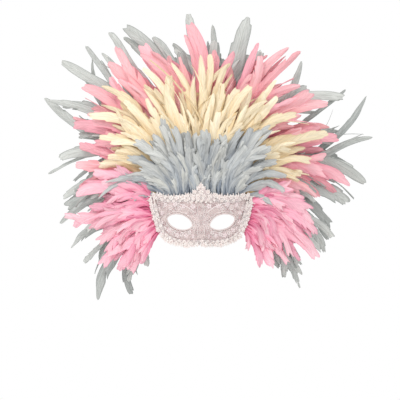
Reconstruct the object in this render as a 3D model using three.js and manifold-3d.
// Carnival feather headdress: a lace half mask whose brow and temples carry layered fans of feathers.
// Units are millimetres. +Z is up, +X is to the right seen from the front, and the mask looks along -Y.
// The origin is the point of the mask's inner face that sits on the bridge of the nose, at eye level.

import * as THREE from "three";
import { mergeVertices } from "three/addons/utils/BufferGeometryUtils.js";
import Module from "manifold-3d";

const wasm = await Module();
wasm.setup();

// Mask shell
const maskHalfWidth = 82; // nose bridge to temple, seen from the front
const maskRise = 41; // eye level to the brow edge, in the middle
const maskWall = 2;
const slabMargin = 8; // the moulded slab reaches this far past the mask before its edge is cut
const templeSetback = 34; // the temple edge lies this far behind the nose bridge
const templeCurve = 2.1; // 1 would be a flat fold, 2 a parabola round the face
const browLean = 0.03; // backward slope above eye level
const noseHeight = 15;
const noseHalfWidth = 16;
const noseTop = 8; // the nose ridge starts this far above eye level
const noseLength = 38;
const socketDepth = 3;

// Eye holes
const eyeCentre = 36; // from the nose bridge
const eyeLength = 43;
const eyeHeight = 24;
const eyeSlant = 17; // degrees, outer corner up
const eyeFullness = 0.25; // 0 would be an ellipse, more pinches the corners
const eyeSteps = 18; // straight sides of an eye hole's outline
const eyeRimWidth = 2.2;
const eyeRimThickness = 1.4;

// Beaded lace trim on the mask's edge
const trimInside = 6; // laps over the shell
const trimOutside = 1.6; // stands out past the shell's edge
const trimThickness = 2.2;
const scallopRise = 2.4;
const scallopPitch = 10;
const stepsPerScallop = 2;
const crestHalfWidth = 23;
const crestRise = 20; // peak above the brow edge
const crestHollow = 1.3; // 1 would be a straight-sided peak, more draws its sides in
const crestLap = 8; // its foot laps this far over the shell

// Feather fans, from the front one back
const tapeWidth = 9; // the binding tape that a fan is sewn to
const tapeThickness = 2.7;
const tapeInset = 4.8; // tape's middle line inside the mask's edge
const rootInset = 1.2; // the feathers start in the tape, this far inside the mask's edge
const templeLean = 0.3; // how much more the feathers at the temples lean back than those at the brow
const fanPitch = 3.2; // from one layer's tape to the next
const quillShare = 0.26; // width of a feather where it leaves the tape, as a share of its vane
const ridgeHeight = 1.4;
const rollDegrees = 7; // how far single feathers turn about their quills
const liftStep = 0.7; // a feather leaves the tape this far behind its neighbour
const liftSlope = 0.025; // and falls this much further behind it for its distance past the brow
const undercoatReach = 0.82; // short feathers' tips, as a share of the long ones' length past the edge
const undercoatGap = 0.6; // where they part behind a long feather, as a share of its length
const undercoatEndGap = 0.3; // and behind a fan's two end feathers
const undercoatFront = 0.2; // its foot's front and back, behind the middle of the tape
const undercoatBack = 1.1;
const rollTurn = 1.7; // radians from one feather's roll to the next one's
const tapeEnd = 0.012; // the tape runs on past its end feathers, as a share of the half edge
const tapeStretches = 30; // straight stretches of a tape for a whole half edge

// Elastic strap round the back of the head
const strapWidth = 14;
const strapThickness = 1.6;
const strapPad = 14; // length glued inside each temple
const strapStart = 50; // inner end of the pad, from the middle of the mask
const headHalfWidth = 76;
const headLength = 182; // nose bridge to the strap at the back of the head
const strapTilt = 20.5; // height of the strap's middle above eye level
const strapLeave = { out: 1, back: 10 }; // from a pad's end to where the strap has left the mask
const strapSide = { out: 2, back: 26 }; // and to where it runs along the side of the head

const seatGap = 0.4; // between two pieces that are glued or sewn together
const seamWeld = 0.05; // corners this close where feathers cross become one
const laceGap = 0.7; // between the lace and the shell's curved face

// The mask's right half edge from the brow's middle round to the nose: a direction in degrees from
// straight up, and the distance out from the origin as a share of the half width.
const MASK_EDGE = [
  { toward: 0, out: 0.5 },
  { toward: 20, out: 0.525 },
  { toward: 40, out: 0.635 },
  { toward: 55, out: 0.855 },
  { toward: 62, out: 1.11 },
  { toward: 75, out: 1.005 },
  { toward: 90, out: 0.896 },
  { toward: 105, out: 0.842 },
  { toward: 118, out: 0.76 },
  { toward: 130, out: 0.655 },
  { toward: 145, out: 0.553 },
  { toward: 160, out: 0.47 },
  { toward: 180, out: 0.43 },
];

// The lengths of trim, as shares of the half edge: negative is the left side seen from the front.
const TRIM_LENGTHS = [
  { name: "lace_trim_brow_left", from: -0.385, to: -0.115 },
  { name: "lace_trim_brow_right", from: 0.115, to: 0.385 },
  { name: "lace_trim_temple_left", from: -0.66, to: -0.432 },
  { name: "lace_trim_temple_right", from: 0.432, to: 0.66 },
  { name: "lace_trim_cheek_left", from: -0.995, to: -0.67 },
  { name: "lace_trim_cheek_right", from: 0.67, to: 0.995 },
];

// Every fan: its layer counted from the mask back, the slope at which it leans away behind the mask,
// how far its tips curl forward at full reach, the reach of its longest feather from the nose bridge,
// the width of a full vane and the colour. Each feather of a fan has a root on the tape (a share of the
// half edge), a tip direction in degrees from straight up, a reach (share of the fan's), a droop (the
// bow of its quill as a share of its length, downwards if positive) and a width (share of the vane).
const FANS = [
  {
    name: "front_grey_fan",
    layer: 0, lean: 0.02, curl: 12, reach: 192, vane: 17, colour: 0xa9b4c0,
    feathers: [
      { root: -0.27, toward: -57, reach: 0.78, droop: 0.14, width: 0.8 },
      { root: -0.23, toward: -46, reach: 0.84, droop: 0.14, width: 0.9 },
      { root: -0.2, toward: -36, reach: 0.89, droop: 0.1, width: 1.0 },
      { root: -0.17, toward: -27, reach: 0.87, droop: 0.06, width: 0.9 },
      { root: -0.13, toward: -20, reach: 0.95, droop: 0.03, width: 0.9 },
      { root: -0.09, toward: -12, reach: 0.8, droop: -0.03, width: 1.0 },
      { root: -0.05, toward: -7, reach: 0.72, droop: 0.05, width: 0.9 },
      { root: -0.02, toward: -1, reach: 0.75, droop: 0.02, width: 1.0 },
      { root: 0.03, toward: 4, reach: 0.79, droop: 0.05, width: 1.0 },
      { root: 0.06, toward: 10, reach: 0.71, droop: 0.05, width: 0.9 },
      { root: 0.09, toward: 15, reach: 0.77, droop: 0.03, width: 1.0 },
      { root: 0.13, toward: 21, reach: 0.86, droop: 0.05, width: 0.9 },
      { root: 0.17, toward: 27, reach: 0.93, droop: 0.06, width: 1.0 },
      { root: 0.2, toward: 33, reach: 1.0, droop: 0.1, width: 1.0 },
      { root: 0.23, toward: 42, reach: 0.88, droop: 0.12, width: 0.9 },
      { root: 0.268, toward: 52, reach: 0.85, droop: 0.14, width: 0.8 },
    ],
  },
  {
    name: "side_pink_fan_left",
    layer: 0, lean: 0.08, curl: 0, reach: 240, vane: 23, colour: 0xf58fb4,
    feathers: [
      { root: -0.43, toward: -65, reach: 0.84, droop: 0.13, width: 0.9 },
      { root: -0.46, toward: -71, reach: 0.87, droop: 0.13, width: 1.0 },
      { root: -0.48, toward: -77, reach: 0.92, droop: 0.12, width: 0.9 },
      { root: -0.51, toward: -83, reach: 0.98, droop: -0.08, width: 0.8 },
      { root: -0.53, toward: -90, reach: 0.76, droop: 0.06, width: 1.0 },
      { root: -0.56, toward: -97, reach: 0.74, droop: 0.08, width: 0.9 },
      { root: -0.58, toward: -104, reach: 0.7, droop: 0.08, width: 0.9 },
      { root: -0.61, toward: -111, reach: 0.76, droop: 0.06, width: 0.8 },
      { root: -0.63, toward: -117, reach: 0.63, droop: 0.06, width: 0.7 },
      { root: -0.65, toward: -123, reach: 0.61, droop: 0.05, width: 0.6 },
    ],
  },
  {
    name: "side_pink_fan_right",
    layer: 0, lean: 0.08, curl: 0, reach: 240, vane: 23, colour: 0xf58fb4,
    feathers: [
      { root: 0.425, toward: 67, reach: 0.66, droop: 0.08, width: 0.9 },
      { root: 0.448, toward: 74, reach: 0.7, droop: 0.1, width: 1.0 },
      { root: 0.474, toward: 81, reach: 0.75, droop: 0.15, width: 1.0 },
      { root: 0.5, toward: 88, reach: 0.8, droop: 0.15, width: 0.9 },
      { root: 0.52, toward: 94, reach: 0.82, droop: 0.16, width: 1.0 },
      { root: 0.55, toward: 100, reach: 0.78, droop: 0.15, width: 0.9 },
      { root: 0.58, toward: 106, reach: 0.86, droop: 0.12, width: 0.9 },
      { root: 0.61, toward: 113, reach: 0.68, droop: 0.1, width: 0.8 },
      { root: 0.64, toward: 120, reach: 0.6, droop: 0.08, width: 0.7 },
    ],
  },
  {
    name: "cream_fan_left",
    layer: 1, lean: 0.18, curl: 0, reach: 290, vane: 18, colour: 0xf7e3bd,
    feathers: [
      { root: -0.34, toward: -67, reach: 0.62, droop: 0.14, width: 0.8 },
      { root: -0.31, toward: -60, reach: 0.69, droop: 0.16, width: 1.0 },
      { root: -0.29, toward: -53, reach: 0.67, droop: 0.14, width: 0.9 },
      { root: -0.26, toward: -47, reach: 0.76, droop: 0.12, width: 1.0 },
      { root: -0.23, toward: -41, reach: 0.91, droop: 0.16, width: 1.0 },
      { root: -0.2, toward: -35, reach: 1.0, droop: 0.1, width: 1.0 },
      { root: -0.17, toward: -29, reach: 0.84, droop: 0.08, width: 0.9 },
    ],
  },
  {
    name: "cream_fan_middle",
    layer: 1, lean: 0.14, curl: 0, reach: 290, vane: 18, colour: 0xf7e3bd,
    feathers: [
      { root: -0.12, toward: -22, reach: 0.79, droop: 0.04, width: 1.0 },
      { root: -0.095, toward: -15, reach: 0.96, droop: 0.04, width: 0.9 },
      { root: -0.065, toward: -11, reach: 0.87, droop: -0.04, width: 0.9 },
      { root: -0.04, toward: -5, reach: 0.95, droop: 0.03, width: 0.8 },
      { root: -0.015, toward: -1, reach: 0.98, droop: 0.03, width: 0.9 },
      { root: 0.015, toward: 3, reach: 0.99, droop: 0.05, width: 1.0 },
      { root: 0.045, toward: 8, reach: 0.82, droop: 0.03, width: 0.9 },
      { root: 0.075, toward: 12, reach: 0.8, droop: 0.03, width: 1.0 },
      { root: 0.1, toward: 17, reach: 0.84, droop: 0.03, width: 0.9 },
    ],
  },
  {
    name: "cream_fan_right",
    layer: 1, lean: 0.18, curl: 0, reach: 290, vane: 18, colour: 0xf7e3bd,
    feathers: [
      { root: 0.13, toward: 20, reach: 0.84, droop: 0.02, width: 0.9 },
      { root: 0.155, toward: 24, reach: 0.95, droop: 0.05, width: 0.9 },
      { root: 0.18, toward: 29, reach: 0.86, droop: 0.1, width: 1.0 },
      { root: 0.21, toward: 35, reach: 0.78, droop: 0.12, width: 0.9 },
      { root: 0.24, toward: 41, reach: 0.84, droop: 0.17, width: 1.0 },
      { root: 0.27, toward: 46, reach: 0.76, droop: 0.13, width: 0.9 },
      { root: 0.29, toward: 51, reach: 0.92, droop: 0.14, width: 1.0 },
      { root: 0.32, toward: 58, reach: 0.74, droop: 0.15, width: 0.9 },
      { root: 0.34, toward: 65, reach: 0.66, droop: 0.17, width: 0.8 },
    ],
  },
  {
    name: "pink_fan_left",
    layer: 2, lean: 0.31, curl: 0, reach: 345, vane: 24, colour: 0xfbaec2,
    feathers: [
      { root: -0.44, toward: -74, reach: 0.64, droop: 0.14, width: 0.8 },
      { root: -0.4, toward: -66, reach: 0.7, droop: 0.14, width: 0.9 },
      { root: -0.36, toward: -58, reach: 0.73, droop: 0.1, width: 0.9 },
      { root: -0.32, toward: -50, reach: 0.81, droop: 0.12, width: 1.0 },
      { root: -0.28, toward: -45, reach: 0.79, droop: 0.1, width: 0.9 },
      { root: -0.24, toward: -40, reach: 0.91, droop: 0.11, width: 1.0 },
      { root: -0.2, toward: -34, reach: 0.86, droop: 0.06, width: 0.9 },
      { root: -0.17, toward: -29, reach: 0.93, droop: 0.05, width: 1.0 },
    ],
  },
  {
    name: "pink_fan_middle",
    layer: 2, lean: 0.27, curl: 0, reach: 345, vane: 24, colour: 0xfbaec2,
    feathers: [
      { root: -0.12, toward: -23, reach: 0.98, droop: 0.03, width: 1.0 },
      { root: -0.09, toward: -17, reach: 0.93, droop: 0.06, width: 1.0 },
      { root: -0.06, toward: -12, reach: 0.87, droop: 0.05, width: 0.9 },
      { root: -0.03, toward: -7, reach: 0.94, droop: 0.08, width: 0.8 },
      { root: 0, toward: -2, reach: 0.99, droop: 0.03, width: 1.1 },
      { root: 0.03, toward: 3, reach: 0.86, droop: -0.03, width: 1.0 },
      { root: 0.06, toward: 9, reach: 0.87, droop: 0.05, width: 0.9 },
      { root: 0.09, toward: 15, reach: 0.95, droop: 0.02, width: 0.7 },
    ],
  },
  {
    name: "pink_fan_right",
    layer: 2, lean: 0.31, curl: 0, reach: 345, vane: 24, colour: 0xfbaec2,
    feathers: [
      { root: 0.13, toward: 19, reach: 0.88, droop: 0.02, width: 0.9 },
      { root: 0.155, toward: 23, reach: 0.99, droop: 0.05, width: 0.7 },
      { root: 0.18, toward: 28, reach: 1.0, droop: 0.1, width: 0.7 },
      { root: 0.21, toward: 34, reach: 0.85, droop: 0.17, width: 0.9 },
      { root: 0.25, toward: 39, reach: 0.85, droop: 0.16, width: 1.0 },
      { root: 0.28, toward: 44, reach: 0.88, droop: 0.18, width: 1.0 },
      { root: 0.32, toward: 50, reach: 0.77, droop: 0.14, width: 0.9 },
      { root: 0.36, toward: 56, reach: 0.82, droop: 0.16, width: 1.0 },
      { root: 0.39, toward: 64, reach: 0.7, droop: 0.17, width: 0.9 },
      { root: 0.43, toward: 74, reach: 0.8, droop: 0.23, width: 0.9 },
    ],
  },
  {
    name: "back_grey_fan_left",
    layer: 3, lean: 0.44, curl: 0, reach: 380, vane: 26, colour: 0xc3cac9,
    feathers: [
      { root: -0.61, toward: -130, reach: 0.43, droop: 0.06, width: 0.5 },
      { root: -0.58, toward: -126, reach: 0.6, droop: 0.14, width: 0.8 },
      { root: -0.52, toward: -107, reach: 0.58, droop: 0.1, width: 0.7 },
      { root: -0.5, toward: -101, reach: 0.62, droop: 0.08, width: 0.6 },
      { root: -0.47, toward: -92, reach: 0.66, droop: 0.22, width: 0.5 },
      { root: -0.43, toward: -84, reach: 0.62, droop: 0.12, width: 0.9 },
      { root: -0.4, toward: -78, reach: 0.66, droop: 0.14, width: 0.9 },
      { root: -0.36, toward: -73, reach: 0.76, droop: 0.3, width: 0.4 },
      { root: -0.33, toward: -66, reach: 0.72, droop: 0.22, width: 0.9 },
      { root: -0.27, toward: -51, reach: 0.95, droop: 0.02, width: 0.7 },
      { root: -0.24, toward: -46, reach: 0.86, droop: 0.14, width: 0.9 },
      { root: -0.21, toward: -40, reach: 1.0, droop: 0.12, width: 0.9 },
      { root: -0.19, toward: -33, reach: 0.99, droop: 0.02, width: 0.5 },
      { root: -0.17, toward: -28, reach: 0.92, droop: -0.04, width: 0.5 },
    ],
  },
  {
    name: "back_grey_fan_middle",
    layer: 3, lean: 0.4, curl: 0, reach: 380, vane: 26, colour: 0xc3cac9,
    feathers: [
      { root: -0.12, toward: -22, reach: 0.98, droop: 0.06, width: 0.6 },
      { root: -0.09, toward: -17, reach: 0.96, droop: 0.16, width: 0.8 },
      { root: -0.06, toward: -12, reach: 0.88, droop: 0.12, width: 0.9 },
      { root: -0.03, toward: -4, reach: 0.97, droop: 0.06, width: 1.0 },
      { root: 0, toward: 0, reach: 0.84, droop: 0, width: 0.9 },
      { root: 0.03, toward: 4, reach: 0.92, droop: -0.05, width: 0.9 },
      { root: 0.06, toward: 9, reach: 0.97, droop: -0.02, width: 1.1 },
      { root: 0.09, toward: 16, reach: 0.83, droop: 0.03, width: 0.8 },
    ],
  },
  {
    name: "back_grey_fan_right",
    layer: 3, lean: 0.44, curl: 0, reach: 380, vane: 26, colour: 0xc3cac9,
    feathers: [
      { root: 0.13, toward: 20, reach: 0.84, droop: 0.02, width: 0.9 },
      { root: 0.155, toward: 25, reach: 0.82, droop: 0.03, width: 0.8 },
      { root: 0.18, toward: 31, reach: 0.88, droop: -0.02, width: 0.5 },
      { root: 0.21, toward: 37, reach: 0.8, droop: 0.08, width: 0.9 },
      { root: 0.27, toward: 48, reach: 0.89, droop: 0.3, width: 0.8 },
      { root: 0.3, toward: 53, reach: 1.0, droop: -0.07, width: 0.5 },
      { root: 0.33, toward: 61, reach: 0.91, droop: -0.04, width: 0.4 },
      { root: 0.36, toward: 68, reach: 0.76, droop: 0.1, width: 0.9 },
      { root: 0.4, toward: 75, reach: 0.8, droop: 0.26, width: 0.9 },
      { root: 0.43, toward: 81, reach: 0.69, droop: 0.14, width: 1.0 },
      { root: 0.5, toward: 95, reach: 0.62, droop: 0.1, width: 0.6 },
      { root: 0.53, toward: 101, reach: 0.57, droop: 0.1, width: 0.9 },
      { root: 0.56, toward: 110, reach: 0.5, droop: 0.1, width: 0.8 },
      { root: 0.58, toward: 118, reach: 0.51, droop: 0.1, width: 0.9 },
      { root: 0.61, toward: 124, reach: 0.55, droop: 0.14, width: 0.5 },
    ],
  },
];

// A feather's outline along its quill, from the tape to the tip: width is a share of the vane's, and
// ridge a share of the full ridge height. The last station is the bare tip point.
const LONG_FEATHER = [
  { along: 0, width: quillShare, ridge: 0.5 },
  { along: 0.26, width: 0.6, ridge: 0.8 },
  { along: 0.62, width: 1.0, ridge: 1.0 },
  { along: 0.92, width: 0.76, ridge: 0.6 },
  { along: 1, width: 0, ridge: 0 },
];

const radians = THREE.MathUtils.degToRad;
const mirrored = (value, side) => (side < 0 ? -value : value);

// Depth of the face under the mask at a point seen from the front.
function faceDepth(x, z) {
  const temple = templeSetback * (Math.abs(x) / maskHalfWidth) ** templeCurve;
  const down = THREE.MathUtils.smoothstep(noseTop - z, 0, noseLength);
  const nose = noseHeight * Math.exp(-((x / noseHalfWidth) ** 2)) * down;
  const fromEye = (Math.abs(x) - eyeCentre) / (eyeLength / 2);
  const socket = socketDepth * Math.exp(-(fromEye ** 2) - 3 * (z / eyeHeight) ** 2);
  return temple + browLean * Math.max(0, z) - nose + socket;
}

const originDepth = faceDepth(0, 0);
const innerFace = (x, z) => faceDepth(x, z) - originDepth;

// A face parallel to the inner one, at a distance behind it measured square to it.
function behindFace(x, z, distance) {
  const step = 0.5;
  const slopeX = (innerFace(x + step, z) - innerFace(x - step, z)) / (2 * step);
  const slopeZ = (innerFace(x, z + step) - innerFace(x, z - step)) / (2 * step);
  return innerFace(x, z) + distance * Math.hypot(1, slopeX, slopeZ);
}

const outerFace = (x, z) => behindFace(x, z, -maskWall);

// A point in the front view, x across and y up, from a direction from straight up and a distance.
function polar(angle, radius) {
  return new THREE.Vector2(Math.sin(angle) * radius, Math.cos(angle) * radius);
}

// The mask's half edge as a curve.
const halfEdge = new THREE.SplineCurve(
  MASK_EDGE.map(({ toward, out }) => polar(radians(toward), out * maskHalfWidth)),
);
const halfEdgeLength = halfEdge.getLength();
const edgeSamples = halfEdge.getSpacedPoints(150);

// A point a distance outside the mask's edge at a share of the half edge, negative on the left side.
function edgePoint(share, outside) {
  const point = halfEdge.getPointAt(Math.abs(share));
  const tangent = halfEdge.getTangentAt(Math.abs(share));
  point.add(new THREE.Vector2(-tangent.y, tangent.x).multiplyScalar(outside));
  return new THREE.Vector2(mirrored(point.x, share), point.y);
}

// Distance of the mask's edge from the origin in a direction from straight up.
function edgeRadius(angle) {
  const turn = ({ x, y }) => Math.atan2(x, y);
  const i = edgeSamples.findIndex((point) => turn(point) >= Math.abs(angle));
  if (i < 1) return edgeSamples.at(i).length();
  const [before, after] = [edgeSamples[i - 1], edgeSamples[i]];
  const share = (Math.abs(angle) - turn(before)) / (turn(after) - turn(before));
  return THREE.MathUtils.lerp(before.length(), after.length(), share);
}

// How far a point seen from the front lies outside the mask's edge.
function pastEdge(x, z) {
  return Math.max(0, Math.hypot(x, z) - edgeRadius(Math.atan2(x, z)));
}

// Depth of a fan's middle surface at a point seen from the front, or of one parallel to it. It follows
// the mask's inner face, and past the mask's edge it leans straight back, so that no fan crosses another.
function fanDepth(fan, x, z, behind = 0) {
  const angle = Math.atan2(x, z);
  const past = pastEdge(x, z);
  const base = polar(angle, Math.hypot(x, z) - past);
  const offset = seatGap + tapeThickness / 2 + fan.layer * fanPitch + behind;
  const lean = fan.lean + templeLean * Math.sin(angle) ** 2;
  return behindFace(base.x, base.y, offset) + lean * past - fan.curl * (past / fan.reach) ** 2;
}

// A closed geometry from rings of points, each with the same count, with flat ends. A ring of one point
// is a tip.
function loft(rings) {
  const positions = [];
  const starts = [];
  for (const ring of rings) {
    starts.push(positions.length / 3);
    for (const point of ring) positions.push(point.x, point.y, point.z);
  }
  const faces = [];
  for (let i = 0; i + 1 < rings.length; i++) {
    const [a, b] = [rings[i], rings[i + 1]];
    const count = Math.max(a.length, b.length);
    for (let j = 0; j < count; j++) {
      const next = (j + 1) % count;
      const [a0, a1] = a.length > 1 ? [starts[i] + j, starts[i] + next] : [starts[i], starts[i]];
      const [b0, b1] =
        b.length > 1 ? [starts[i + 1] + j, starts[i + 1] + next] : [starts[i + 1], starts[i + 1]];
      if (a0 !== a1) faces.push(a0, a1, b0);
      if (b0 !== b1) faces.push(a1, b1, b0);
    }
  }
  const fanOut = (start, count, reversed) => {
    for (let j = 1; j + 1 < count; j++) {
      faces.push(start, start + (reversed ? j + 1 : j), start + (reversed ? j : j + 1));
    }
  };
  fanOut(starts[0], rings[0].length, true);
  fanOut(starts.at(-1), rings.at(-1).length, false);
  return new THREE.BufferGeometry()
    .setAttribute("position", new THREE.Float32BufferAttribute(positions, 3))
    .setIndex(faces);
}

// A geometry as a manifold-3d solid that faces out, and a solid as a geometry. Corners closer than the
// weld distance become one.
function solidOf(geometry, weld = 1e-3) {
  const bare = geometry.clone();
  bare.deleteAttribute("normal");
  bare.deleteAttribute("uv");
  const merged = mergeVertices(bare, weld);
  const vertProperties = new Float32Array(merged.attributes.position.array);
  const triVerts = new Uint32Array(merged.index.array);
  const solid = new wasm.Manifold(new wasm.Mesh({ numProp: 3, vertProperties, triVerts }));
  if (solid.volume() > 0) return solid;
  return new wasm.Manifold(
    new wasm.Mesh({ numProp: 3, vertProperties, triVerts: triVerts.reverse() }),
  );
}

function geometryOf(solid) {
  const mesh = solid.getMesh();
  return new THREE.BufferGeometry()
    .setAttribute("position", new THREE.Float32BufferAttribute(mesh.vertProperties, 3))
    .setIndex(new THREE.BufferAttribute(mesh.triVerts, 1));
}

// All of several solids in one, without the pockets that crossing feathers may close in.
function fused(solids) {
  const joined = solidOf(geometryOf(solids.reduce((whole, next) => whole.add(next))), seamWeld);
  return joined.decompose().reduce((a, b) => (b.volume() > a.volume() ? b : a));
}

// A prism with a front-view outline of Vector2 points, x across and y up, from one depth to another.
function prismAlongDepth(outline, frontDepth, backDepth) {
  const settings = { depth: backDepth - frontDepth, bevelEnabled: false };
  return new THREE.ExtrudeGeometry(new THREE.Shape(outline), settings)
    .rotateX(Math.PI / 2)
    .translate(0, backDepth, 0);
}

// The almond outline of an eye hole, grown by a margin: side is -1 for the left one seen from the front.
function eyeOutline(side, margin, steps) {
  const slant = radians(eyeSlant);
  return Array.from({ length: steps }, (_, i) => {
    const turn = (2 * Math.PI * i) / steps;
    const long = (eyeLength / 2 + margin) * Math.cos(turn);
    const high = (eyeHeight / 2 + margin) * Math.sin(turn) * Math.abs(Math.sin(turn)) ** eyeFullness;
    const x = eyeCentre + long * Math.cos(slant) - high * Math.sin(slant);
    return new THREE.Vector2(side * x, long * Math.sin(slant) + high * Math.cos(slant));
  });
}

function maskShell() {
  const [columns, rows] = [22, 8];
  const [halfSpan, halfHeight] = [maskHalfWidth + slabMargin, maskRise + slabMargin];
  const slab = new THREE.BoxGeometry(2, 2, 2, columns, 1, rows);
  const position = slab.attributes.position;
  for (let i = 0; i < position.count; i++) {
    const u = position.getX(i);
    const x = halfSpan * u;
    const z = halfHeight * position.getZ(i);
    position.setXYZ(i, x, position.getY(i) < 0 ? outerFace(x, z) : innerFace(x, z), z);
  }
  const edgeSteps = 28;
  const outline = Array.from({ length: 2 * edgeSteps }, (_, i) => edgePoint(i / edgeSteps - 1, 0));
  const [front, back] = [-2 * (noseHeight + maskWall), 2 * templeSetback];
  let shell = solidOf(slab).intersect(solidOf(prismAlongDepth(outline, front, back)));
  for (const side of [-1, 1]) {
    shell = shell.subtract(solidOf(prismAlongDepth(eyeOutline(side, 0, eyeSteps), front, back)));
  }
  return shell;
}

// A thin raised rim round an eye hole.
function eyeRim(side) {
  const inner = eyeOutline(side, 0, eyeSteps);
  const outer = eyeOutline(side, eyeRimWidth, eyeSteps);
  const rings = inner.map((point, i) => {
    const back = (at) => outerFace(at.x, at.y) - laceGap;
    const corner = (at, forward) => new THREE.Vector3(at.x, back(at) - forward, at.y);
    return [
      corner(point, 0),
      corner(outer[i], 0),
      corner(outer[i], eyeRimThickness),
      corner(point, eyeRimThickness),
    ];
  });
  return solidOf(closedLoop(rings));
}

// A closed geometry from rings whose last joins the first.
function closedLoop(rings) {
  const count = rings[0].length;
  const positions = rings.flat().flatMap((point) => [point.x, point.y, point.z]);
  const faces = [];
  rings.forEach((_, i) => {
    const [here, there] = [i * count, ((i + 1) % rings.length) * count];
    for (let j = 0; j < count; j++) {
      const next = (j + 1) % count;
      faces.push(here + j, here + next, there + j, here + next, there + next, there + j);
    }
  });
  return new THREE.BufferGeometry()
    .setAttribute("position", new THREE.Float32BufferAttribute(positions, 3))
    .setIndex(faces);
}

// A length of scalloped lace along the mask's edge. It laps over the shell and its scallops stand out
// past the edge, level with the shell's front.
function laceTrim({ from, to }) {
  const scallops = Math.round((Math.abs(to - from) * halfEdgeLength) / scallopPitch);
  const steps = scallops * stepsPerScallop;
  const rings = Array.from({ length: steps + 1 }, (_, i) => {
    const share = from + ((to - from) * i) / steps;
    const bulge = scallopRise * Math.abs(Math.sin((Math.PI * i) / stepsPerScallop));
    const [inner, edge] = [edgePoint(share, -trimInside), edgePoint(share, 0)];
    const outer = edgePoint(share, trimOutside + bulge);
    const innerBack = outerFace(inner.x, inner.y) - laceGap;
    const edgeBack = outerFace(edge.x, edge.y) - laceGap;
    return [
      new THREE.Vector3(inner.x, innerBack, inner.y),
      new THREE.Vector3(edge.x, edgeBack, edge.y),
      new THREE.Vector3(outer.x, edgeBack - trimThickness / 2, outer.y),
      new THREE.Vector3(edge.x, edgeBack - trimThickness, edge.y),
      new THREE.Vector3(inner.x, innerBack - trimThickness, inner.y),
    ];
  });
  return solidOf(loft(rings));
}

// The peaked lace motif over the middle of the brow, in upright columns.
function browCrest() {
  const lobes = 5; // scallops along its top
  const columns = lobes * stepsPerScallop;
  const foot = maskRise - crestLap;
  const rings = Array.from({ length: columns + 1 }, (_, i) => {
    const across = (2 * i) / columns - 1;
    const x = crestHalfWidth * across;
    const peak = maskRise + trimOutside + (crestRise - trimOutside) * (1 - Math.abs(across)) ** crestHollow;
    const top = peak + scallopRise * Math.abs(Math.sin((Math.PI * i) / stepsPerScallop));
    const back = (z) => outerFace(x, Math.min(z, maskRise)) - laceGap;
    return [
      new THREE.Vector3(x, back(foot), foot),
      new THREE.Vector3(x, back(top), top),
      new THREE.Vector3(x, back(top) - trimThickness / 2, top),
      new THREE.Vector3(x, back(foot) - trimThickness, foot),
    ];
  });
  return solidOf(loft(rings));
}

// The elastic strap: its pads follow the inner face at the temples, and between them it goes round the
// back of the head.
function elasticStrap() {
  const padDepth = (x) => behindFace(x, strapTilt, seatGap + strapThickness / 2);
  const padEnd = strapStart + strapPad;
  const pad = [
    new THREE.Vector2(strapStart, padDepth(strapStart)),
    new THREE.Vector2(strapStart + strapPad / 2, padDepth(strapStart + strapPad / 2)),
    new THREE.Vector2(padEnd, padDepth(padEnd)),
  ];
  const backCentre = headLength - headHalfWidth;
  const turn = 8; // stations round the back of the head
  const free = [
    new THREE.Vector2(padEnd + strapLeave.out, padDepth(padEnd) + strapLeave.back),
    new THREE.Vector2(padEnd + strapSide.out, padDepth(padEnd) + strapSide.back),
    ...Array.from({ length: turn }, (_, i) => {
      const angle = (Math.PI / 2) * (i / turn);
      return new THREE.Vector2(
        headHalfWidth * Math.cos(angle),
        backCentre + headHalfWidth * Math.sin(angle),
      );
    }),
  ];
  const right = [...pad, ...free];
  const back = new THREE.Vector2(0, headLength);
  const path = [...right, back, ...right.toReversed().map((p) => new THREE.Vector2(-p.x, p.y))];
  const rings = path.map((point, i) => {
    const before = path[Math.max(0, i - 1)];
    const after = path[Math.min(path.length - 1, i + 1)];
    const along = after.clone().sub(before).normalize();
    const side = new THREE.Vector2(-along.y, along.x).multiplyScalar(strapThickness / 2);
    const corner = (sign, up) =>
      new THREE.Vector3(point.x + sign * side.x, point.y + sign * side.y, strapTilt + up);
    const rise = strapWidth / 2;
    return [corner(1, -rise), corner(1, rise), corner(-1, rise), corner(-1, -rise)];
  });
  return solidOf(loft(rings));
}

// The binding tape of a fan, a band along the mask's edge between two roots.
function fanTape(fan) {
  const roots = fan.feathers.map(({ root }) => root);
  const [from, to] = [Math.min(...roots) - tapeEnd, Math.max(...roots) + tapeEnd];
  const steps = Math.max(4, Math.round((to - from) * tapeStretches));
  const rings = Array.from({ length: steps + 1 }, (_, i) => {
    const share = from + ((to - from) * i) / steps;
    const corner = (outward, back) => {
      const at = edgePoint(share, outward - tapeInset);
      return new THREE.Vector3(at.x, fanDepth(fan, at.x, at.y, back), at.y);
    };
    const [wide, thick] = [tapeWidth / 2, tapeThickness / 2];
    return [corner(-wide, -thick), corner(wide, -thick), corner(wide, thick), corner(-wide, thick)];
  });
  return solidOf(loft(rings));
}

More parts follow.
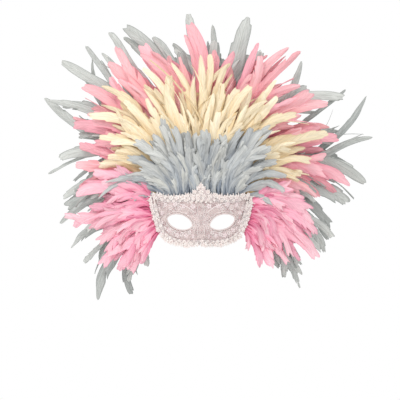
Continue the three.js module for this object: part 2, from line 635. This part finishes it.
// One feather: a vane that follows its fan's surface on a bowed quill, flat at the back and ridged in
// front. lift counts the feathers that it lies behind, and roll turns it on its quill, in degrees.
function featherBlade(fan, feather, lift, roll) {
  const root = edgePoint(feather.root, -rootInset);
  const tip = polar(radians(feather.toward), feather.reach * fan.reach);
  const chord = tip.clone().sub(root);
  const side = Math.sign(feather.toward) || 1;
  const up = new THREE.Vector2(-chord.y, chord.x).multiplyScalar(side * feather.droop * 2);
  const middle = root.clone().lerp(tip, 0.5).add(up);
  const quill = new THREE.QuadraticBezierCurve(root, middle, tip);
  const onFan = (at) => {
    const behind = lift * liftStep + lift * liftSlope * pastEdge(at.x, at.y);
    return new THREE.Vector3(at.x, fanDepth(fan, at.x, at.y, behind), at.y);
  };
  return LONG_FEATHER.map(({ along, width, ridge }) => {
    const at = quill.getPoint(along);
    const centre = onFan(at);
    if (width === 0) return [centre];
    const step = 0.02;
    const ahead = onFan(quill.getPoint(Math.min(1, along + step)));
    const behind = onFan(quill.getPoint(Math.max(0, along - step)));
    const forward = ahead.sub(behind).normalize();
    const sideways = onFan(at.clone().add(new THREE.Vector2(-forward.z, forward.x)))
      .sub(centre)
      .normalize()
      .applyAxisAngle(forward, radians(roll) * along);
    const frontward = sideways.clone().cross(forward).normalize();
    if (frontward.y > 0) frontward.negate();
    const reach = (fan.vane * feather.width * width) / 2;
    return [
      centre.clone().addScaledVector(sideways, reach),
      centre.clone().addScaledVector(frontward, ridgeHeight * ridge),
      centre.clone().addScaledVector(sideways, -reach),
    ];
  });
}

// The undercoat of short feathers behind a fan's long ones: a wedge that thins out from the tape to a
// jagged edge, with a point between each two long feathers.
function undercoat(fan) {
  const column = (root, toward, reach, share) => {
    const base = edgePoint(root, -rootInset);
    const angle = radians(toward);
    const top = polar(angle, THREE.MathUtils.lerp(edgeRadius(angle), reach * fan.reach, share));
    const at = (point, behind) =>
      new THREE.Vector3(point.x, fanDepth(fan, point.x, point.y, behind), point.y);
    const behindTop = 2 * (liftStep + liftSlope * pastEdge(top.x, top.y));
    return [at(base, undercoatFront), at(top, behindTop), at(base, undercoatBack)];
  };
  const rings = fan.feathers.flatMap((feather, i) => {
    const next = fan.feathers[i + 1];
    const gap = i > 0 && next ? undercoatGap : undercoatEndGap;
    const parting = column(feather.root, feather.toward, feather.reach, gap);
    if (!next) return [parting];
    const mean = (key) => (feather[key] + next[key]) / 2;
    const share = i > 0 && i < fan.feathers.length - 2 ? undercoatReach : undercoatGap;
    return [parting, column(mean("root"), mean("toward"), mean("reach"), share)];
  });
  return solidOf(loft(rings));
}

// A whole fan fused to its tape, each long feather behind or in front of its neighbour.
function featherFan(fan) {
  const long = fan.feathers.map((feather, i) => {
    const roll = rollDegrees * Math.cos(i * rollTurn);
    return solidOf(loft(featherBlade(fan, feather, i % 2, roll)));
  });
  return fused([fanTape(fan), undercoat(fan), ...long]);
}

function piece(name, solid, colour, roughness) {
  const material = new THREE.MeshStandardMaterial({ color: colour, roughness, metalness: 0 });
  const mesh = new THREE.Mesh(geometryOf(solid), material);
  mesh.name = name;
  return mesh;
}

const headdress = new THREE.Group();
headdress.name = "feather_headdress";

const mask = new THREE.Group();
mask.add(piece("mask_shell", maskShell(), 0xe9cfd3, 0.7));
mask.add(piece("eye_rim_left", eyeRim(-1), 0xf3e4df, 0.5));
mask.add(piece("eye_rim_right", eyeRim(1), 0xf3e4df, 0.5));
mask.add(piece("brow_crest", browCrest(), 0xf6ebe6, 0.4));
for (const length of TRIM_LENGTHS) {
  mask.add(piece(length.name, laceTrim(length), 0xf6ebe6, 0.4));
}
mask.add(piece("elastic_strap", elasticStrap(), 0xf2f0ee, 0.8));
headdress.add(mask);

const plumage = new THREE.Group();
for (const fan of FANS) {
  plumage.add(piece(fan.name, featherFan(fan), fan.colour, 0.75));
}
headdress.add(plumage);

export default headdress;
